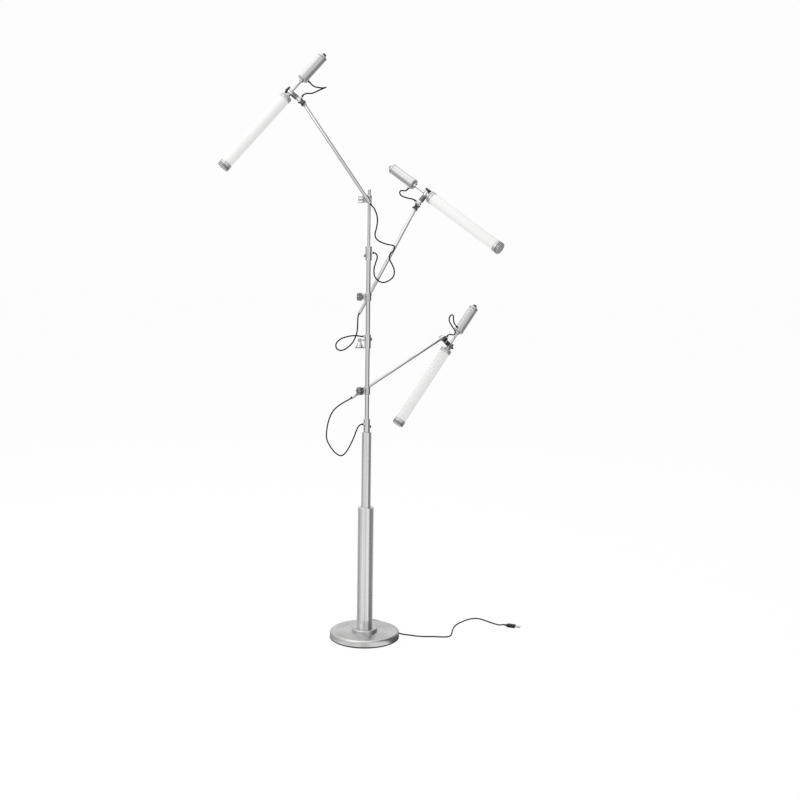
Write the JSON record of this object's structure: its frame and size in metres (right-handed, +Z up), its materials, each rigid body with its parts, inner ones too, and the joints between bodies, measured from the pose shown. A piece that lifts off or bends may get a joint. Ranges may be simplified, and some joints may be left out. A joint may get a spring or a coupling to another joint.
{
  "type": "floor lamp",
  "caption": "Floor lamp with a round weighted base, a stepped column and a swivelling mast whose tilting arms carry long tubular lamp heads.",
  "frame": {"origin": "centre of the base's underside, on the floor", "axes": "+Z up along the column, -Y towards the picture's camera, +X to its right"},
  "size_m": [1.0026, 0.4424, 1.8824],
  "materials": {
    "brushed_nickel": "brushed",
    "polished_nickel": "polished",
    "satin_housing": "satin",
    "dark_knob": "glossy",
    "frosted_glass": "frosted",
    "light_core": "matt",
    "cast_iron": "rough cast",
    "felt": "felt",
    "black_rubber": "matt",
    "cord_sheath": "satin",
    "black_plastic": "matt"
  },
  "bodies": {
    "base": {"foot_pad": "felt", "base_weight": "cast_iron", "base_shell": "brushed_nickel", "foot_ring": "brushed_nickel", "lower_column": "brushed_nickel", "middle_column": "brushed_nickel", "mains_gland": "black_rubber", "mains_hank": "cord_sheath", "hank_tie": "black_rubber", "mains_lead": "cord_sheath", "mains_plug": "black_plastic"},
    "lower_mast": {"lower_swivel_collar": "polished_nickel", "lower_mast_tube": "polished_nickel", "lower_mast_clamp": "polished_nickel"},
    "lower_arm": {"lower_arm_tube": "polished_nickel", "lower_arm_lead": "cord_sheath"},
    "lower_head": {"lower_head_swivel": "polished_nickel"},
    "lower_lamp": {"lower_lamp_neck": "polished_nickel", "lower_lamp_housing": "satin_housing", "lower_lamp_glass": "frosted_glass", "lower_light_core": "light_core", "lower_end_cap": "polished_nickel", "lower_head_lead": "cord_sheath"},
    "lower_clamp_screw": {"lower_clamp_knob": "dark_knob"},
    "lower_pivot_lock": {"lower_pivot_screw": "dark_knob"},
    "lower_neck_lock": {"lower_neck_knob": "dark_knob"},
    "lower_dimmer": {"lower_dimmer_knob": "dark_knob"},
    "middle_mast": {"middle_swivel_collar": "polished_nickel", "middle_mast_tube": "polished_nickel", "middle_mast_clamp": "polished_nickel"},
    "middle_arm": {"middle_arm_tube": "polished_nickel", "middle_arm_lead": "cord_sheath"},
    "middle_head": {"middle_head_swivel": "polished_nickel"},
    "middle_lamp": {"middle_lamp_neck": "polished_nickel", "middle_lamp_housing": "satin_housing", "middle_lamp_glass": "frosted_glass", "middle_light_core": "light_core", "middle_end_cap": "polished_nickel", "middle_head_lead": "cord_sheath"},
    "middle_clamp_screw": {"middle_clamp_knob": "dark_knob"},
    "middle_pivot_lock": {"middle_pivot_screw": "dark_knob"},
    "middle_neck_lock": {"middle_neck_knob": "dark_knob"},
    "middle_dimmer": {"middle_dimmer_knob": "dark_knob"},
    "upper_mast": {"upper_swivel_collar": "polished_nickel", "upper_mast_tube": "polished_nickel", "upper_mast_clamp": "polished_nickel"},
    "upper_arm": {"upper_arm_tube": "polished_nickel", "upper_arm_lead": "cord_sheath"},
    "upper_head": {"upper_head_swivel": "polished_nickel"},
    "upper_lamp": {"upper_lamp_neck": "polished_nickel", "upper_lamp_housing": "satin_housing", "upper_lamp_glass": "frosted_glass", "upper_light_core": "light_core", "upper_end_cap": "polished_nickel", "upper_head_lead": "cord_sheath"},
    "upper_clamp_screw": {"upper_clamp_knob": "polished_nickel"},
    "upper_pivot_lock": {"upper_pivot_screw": "dark_knob"},
    "upper_neck_lock": {"upper_neck_knob": "dark_knob"},
    "upper_dimmer": {"upper_dimmer_knob": "dark_knob"},
    "collar_lock": {"middle_collar_screw": "polished_nickel"}
  },
  "joints": [
    {"name": "lower_mast_swivel", "type": "hinge", "parent": "base", "child": "lower_mast", "pos_m": [0, 0, 0.6863], "axis": [0, 0, 1], "range_deg": [-150, 150]},
    {"name": "lower_arm_tilt", "type": "hinge", "parent": "lower_mast", "child": "lower_arm", "pos_m": [-0.01135, 0.02228, 0.8205], "axis": [0.454, -0.891, 0], "range_deg": [-35, 30], "deforming": ["lower_arm_lead"]},
    {"name": "lower_head_bend", "type": "hinge", "parent": "lower_arm", "child": "lower_head", "pos_m": [0.24815, 0.1545, 0.98194], "axis": [-0.5922, 0.7195, 0.3627], "range_deg": [-141, 9]},
    {"name": "lower_lamp_turn", "type": "hinge", "parent": "lower_head", "child": "lower_lamp", "pos_m": [0.27433, 0.19024, 0.95377], "axis": [0.4986, 0.6808, -0.5365], "range_deg": [-75, 75], "deforming": ["lower_head_lead"]},
    {"name": "lower_clamp_knob_turn", "type": "hinge", "parent": "lower_mast", "child": "lower_clamp_screw", "pos_m": [0, 0, 0.8205], "axis": [-0.891, -0.454, 0], "range_deg": [-180, 180]},
    {"name": "lower_pivot_screw_turn", "type": "hinge", "parent": "lower_head", "child": "lower_pivot_lock", "pos_m": [0.24815, 0.1545, 0.98194], "axis": [0.5922, -0.7195, -0.3627], "range_deg": [-180, 180]},
    {"name": "lower_neck_knob_turn", "type": "hinge", "parent": "lower_head", "child": "lower_neck_lock", "pos_m": [0.27433, 0.19024, 0.95377], "axis": [0.4986, 0.6808, -0.5365], "range_deg": [-180, 180]},
    {"name": "lower_dimmer_turn", "type": "hinge", "parent": "lower_lamp", "child": "lower_dimmer", "pos_m": [0.27433, 0.19024, 0.95377], "axis": [0.5385, 0.2418, 0.8072], "range_deg": [0, 270]},
    {"name": "middle_mast_swivel", "type": "hinge", "parent": "lower_mast", "child": "middle_mast", "pos_m": [0, 0, 0.957], "axis": [0, 0, 1], "range_deg": [-150, 150]},
    {"name": "middle_arm_tilt", "type": "hinge", "parent": "middle_mast", "child": "middle_arm", "pos_m": [0.00044, 0.025, 1.121], "axis": [-0.0175, -0.9998, 0], "range_deg": [-55, 15], "deforming": ["middle_arm_lead"]},
    {"name": "middle_head_bend", "type": "hinge", "parent": "middle_arm", "child": "middle_head", "pos_m": [0.14864, 0.02241, 1.40573], "axis": [0.0175, 0.9998, 0], "range_deg": [-84, 65]},
    {"name": "middle_lamp_turn", "type": "hinge", "parent": "middle_head", "child": "middle_lamp", "pos_m": [0.18023, 0.02186, 1.44766], "axis": [0.6017, -0.0105, 0.7986], "range_deg": [-75, 75], "deforming": ["middle_head_lead"]},
    {"name": "middle_clamp_knob_turn", "type": "hinge", "parent": "middle_mast", "child": "middle_clamp_screw", "pos_m": [0, 0, 1.121], "axis": [-0.9998, 0.0175, 0], "range_deg": [-180, 180]},
    {"name": "middle_pivot_screw_turn", "type": "hinge", "parent": "middle_head", "child": "middle_pivot_lock", "pos_m": [0.14864, 0.02241, 1.40573], "axis": [-0.0175, -0.9998, 0], "range_deg": [-180, 180]},
    {"name": "middle_neck_knob_turn", "type": "hinge", "parent": "middle_head", "child": "middle_neck_lock", "pos_m": [0.18023, 0.02186, 1.44766], "axis": [0.6017, -0.0105, 0.7986], "range_deg": [-180, 180]},
    {"name": "middle_dimmer_turn", "type": "hinge", "parent": "middle_lamp", "child": "middle_dimmer", "pos_m": [0.18023, 0.02186, 1.44766], "axis": [-0.6899, 0.4969, 0.5264], "range_deg": [0, 270]},
    {"name": "upper_mast_swivel", "type": "hinge", "parent": "middle_mast", "child": "upper_mast", "pos_m": [0, 0, 1.236], "axis": [0, 0, 1], "range_deg": [-100, 100]},
    {"name": "upper_arm_tilt", "type": "hinge", "parent": "upper_mast", "child": "upper_arm", "pos_m": [-0.00647, -0.02415, 1.4275], "axis": [0.2588, 0.9659, 0], "range_deg": [-45, 25], "deforming": ["upper_arm_lead"]},
    {"name": "upper_head_bend", "type": "hinge", "parent": "upper_arm", "child": "upper_head", "pos_m": [-0.21036, 0.03048, 1.72343], "axis": [-0.2588, -0.9659, 0], "range_deg": [-92, 58]},
    {"name": "upper_lamp_turn", "type": "hinge", "parent": "upper_head", "child": "upper_lamp", "pos_m": [-0.2506, 0.04126, 1.75539], "axis": [-0.7663, 0.2053, 0.6088], "range_deg": [-75, 75], "deforming": ["upper_head_lead"]},
    {"name": "upper_clamp_knob_turn", "type": "hinge", "parent": "upper_mast", "child": "upper_clamp_screw", "pos_m": [0, 0, 1.4275], "axis": [-0.9659, 0.2588, 0], "range_deg": [-180, 180]},
    {"name": "upper_pivot_screw_turn", "type": "hinge", "parent": "upper_head", "child": "upper_pivot_lock", "pos_m": [-0.21036, 0.03048, 1.72343], "axis": [-0.2588, -0.9659, 0], "range_deg": [-180, 180]},
    {"name": "upper_neck_knob_turn", "type": "hinge", "parent": "upper_head", "child": "upper_neck_lock", "pos_m": [-0.2506, 0.04126, 1.75539], "axis": [-0.7663, 0.2053, 0.6088], "range_deg": [-180, 180]},
    {"name": "upper_dimmer_turn", "type": "hinge", "parent": "upper_lamp", "child": "upper_dimmer", "pos_m": [-0.2506, 0.04126, 1.75539], "axis": [0.6414, 0.1907, 0.7431], "range_deg": [0, 270]},
    {"name": "middle_collar_screw_turn", "type": "hinge", "parent": "middle_mast", "child": "collar_lock", "pos_m": [-0.0257, 0.00045, 0.97], "axis": [0, 0, 1], "range_deg": [-180, 180]}
  ]
}
